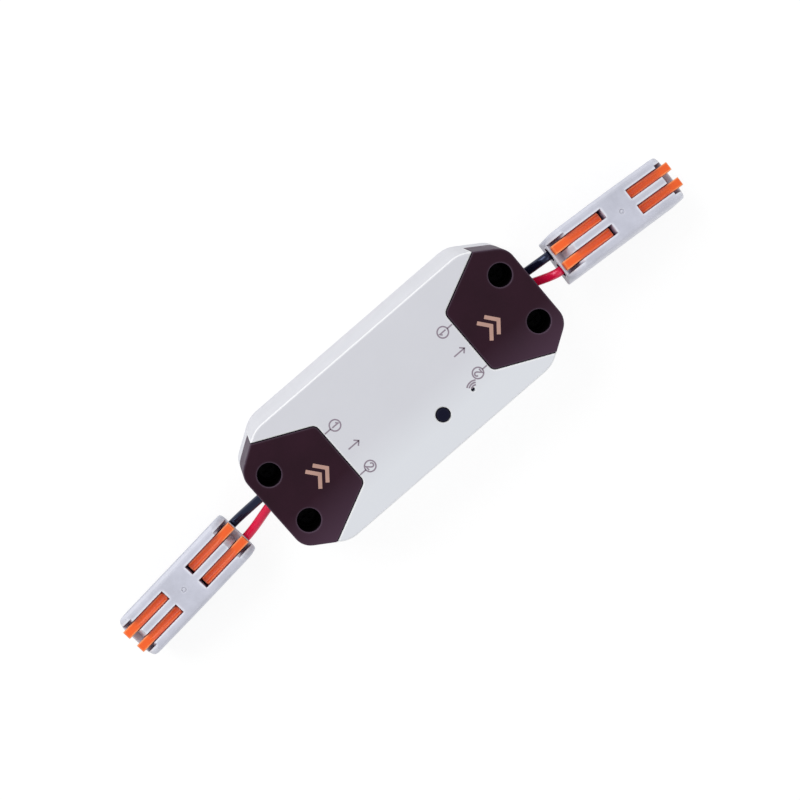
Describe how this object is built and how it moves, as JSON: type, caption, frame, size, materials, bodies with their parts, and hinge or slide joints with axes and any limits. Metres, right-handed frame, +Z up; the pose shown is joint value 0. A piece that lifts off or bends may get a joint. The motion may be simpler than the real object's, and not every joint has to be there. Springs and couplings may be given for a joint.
{
  "type": "smart power cutoff switch",
  "caption": "Inline mains relay module with chamfered case, dark terminal covers, push button, and lever splice connectors on the leads at both ends.",
  "frame": {"origin": "centre of the case's underside", "axes": "+X along the case from its input end to its output end, +Z up out of the case's top, +Y completes the frame"},
  "size_m": [0.1849, 0.0376, 0.0243],
  "materials": {
    "shell_white": "fine satin moulding",
    "cover_dark": "fine satin moulding",
    "screw_black": "black zinc",
    "board_green": "solder mask",
    "board_blue": "solder mask",
    "screw_steel": "zinc plated",
    "terminal_green": "moulded",
    "cage_nickel": "nickel plated",
    "relay_black": "moulded",
    "ferrite": "ground",
    "winding_tape": "smooth tape",
    "capacitor_sleeve": "shrink sleeve",
    "capacitor_yellow": "moulded",
    "varistor_blue": "dipped",
    "resistor_green": "lacquer",
    "chip_black": "moulded",
    "shield_steel": "tinned",
    "light_clear": "clear epoxy",
    "button_black": "moulded",
    "lead_black": "smooth sleeve",
    "lead_red": "smooth sleeve",
    "copper": "bare copper",
    "splice_grey": "satin moulding",
    "splice_base": "satin moulding",
    "spring_steel": "spring steel",
    "lever_orange": "satin moulding"
  },
  "bodies": {
    "case": {"top_shell": "shell_white", "base_plate": "shell_white", "input_cover": "cover_dark", "output_cover": "cover_dark", "cover_screws": "screw_black", "main_board": "board_green", "board_screws": "screw_steel", "input_terminal_block": "terminal_green", "output_terminal_block": "terminal_green", "terminal_cages": "cage_nickel", "terminal_screws": "screw_steel", "relay": "relay_black", "transformer_core": "ferrite", "transformer_winding": "winding_tape", "bulk_capacitor": "capacitor_sleeve", "output_capacitor": "capacitor_sleeve", "x_capacitor": "capacitor_yellow", "varistor": "varistor_blue", "fuse_resistor": "resistor_green", "bridge_rectifier": "chip_black", "regulator_chip": "chip_black", "wireless_board": "board_blue", "wireless_shield": "shield_steel", "radio_board": "board_green", "radio_aerial": "copper", "status_light": "light_clear", "light_holder": "chip_black", "switch_body": "chip_black", "switch_plate": "shield_steel", "input_black_lead": "lead_black", "input_red_lead": "lead_red", "output_black_lead": "lead_black", "output_red_lead": "lead_red", "conductor_ends": "copper", "input_splice_housing": "splice_grey", "output_splice_housing": "splice_grey", "input_splice_bottom": "splice_base", "output_splice_bottom": "splice_base", "input_bus_bars": "copper", "output_bus_bars": "copper", "input_clamp_springs": "spring_steel", "output_clamp_springs": "spring_steel"},
    "button": {"push_button": "button_black"},
    "input_near_black": {"input_near_black_lever": "lever_orange"},
    "input_near_red": {"input_near_red_lever": "lever_orange"},
    "input_far_black": {"input_far_black_lever": "lever_orange"},
    "input_far_red": {"input_far_red_lever": "lever_orange"},
    "output_near_black": {"output_near_black_lever": "lever_orange"},
    "output_near_red": {"output_near_red_lever": "lever_orange"},
    "output_far_black": {"output_far_black_lever": "lever_orange"},
    "output_far_red": {"output_far_red_lever": "lever_orange"}
  },
  "joints": [
    {"name": "button_press", "type": "slide", "parent": "case", "child": "button", "axis": [0, 0, -1], "range_m": [0, 0.00025], "stiffness_N_per_m": 400, "springref_m": -0.0005},
    {"name": "input_near_black_hinge", "type": "hinge", "parent": "case", "child": "input_near_black", "pos_m": [-0.06712, 0.00109, 0.01285], "axis": [0.0975, -0.985, 0.1425], "range_deg": [0, 90]},
    {"name": "input_near_red_hinge", "type": "hinge", "parent": "case", "child": "input_near_red", "pos_m": [-0.06664, -0.00374, 0.01355], "axis": [0.0975, -0.985, 0.1425], "range_deg": [0, 90]},
    {"name": "input_far_black_hinge", "type": "hinge", "parent": "case", "child": "input_far_black", "pos_m": [-0.08163, -0.00044, 0.01224], "axis": [-0.0975, 0.985, -0.1425], "range_deg": [0, 90]},
    {"name": "input_far_red_hinge", "type": "hinge", "parent": "case", "child": "input_far_red", "pos_m": [-0.08115, -0.00526, 0.01294], "axis": [-0.0975, 0.985, -0.1425], "range_deg": [0, 90]},
    {"name": "output_near_black_hinge", "type": "hinge", "parent": "case", "child": "output_near_black", "pos_m": [0.06499, 0.00151, 0.01769], "axis": [0.0639, 0.9745, -0.215], "range_deg": [0, 90]},
    {"name": "output_near_red_hinge", "type": "hinge", "parent": "case", "child": "output_near_red", "pos_m": [0.06467, -0.00326, 0.01875], "axis": [0.0639, 0.9745, -0.215], "range_deg": [0, 90]},
    {"name": "output_far_black_hinge", "type": "hinge", "parent": "case", "child": "output_far_black", "pos_m": [0.07905, -0.00019, 0.01416], "axis": [-0.0639, -0.9745, 0.215], "range_deg": [0, 90]},
    {"name": "output_far_red_hinge", "type": "hinge", "parent": "case", "child": "output_far_red", "pos_m": [0.07874, -0.00496, 0.01522], "axis": [-0.0639, -0.9745, 0.215], "range_deg": [0, 90]}
  ]
}
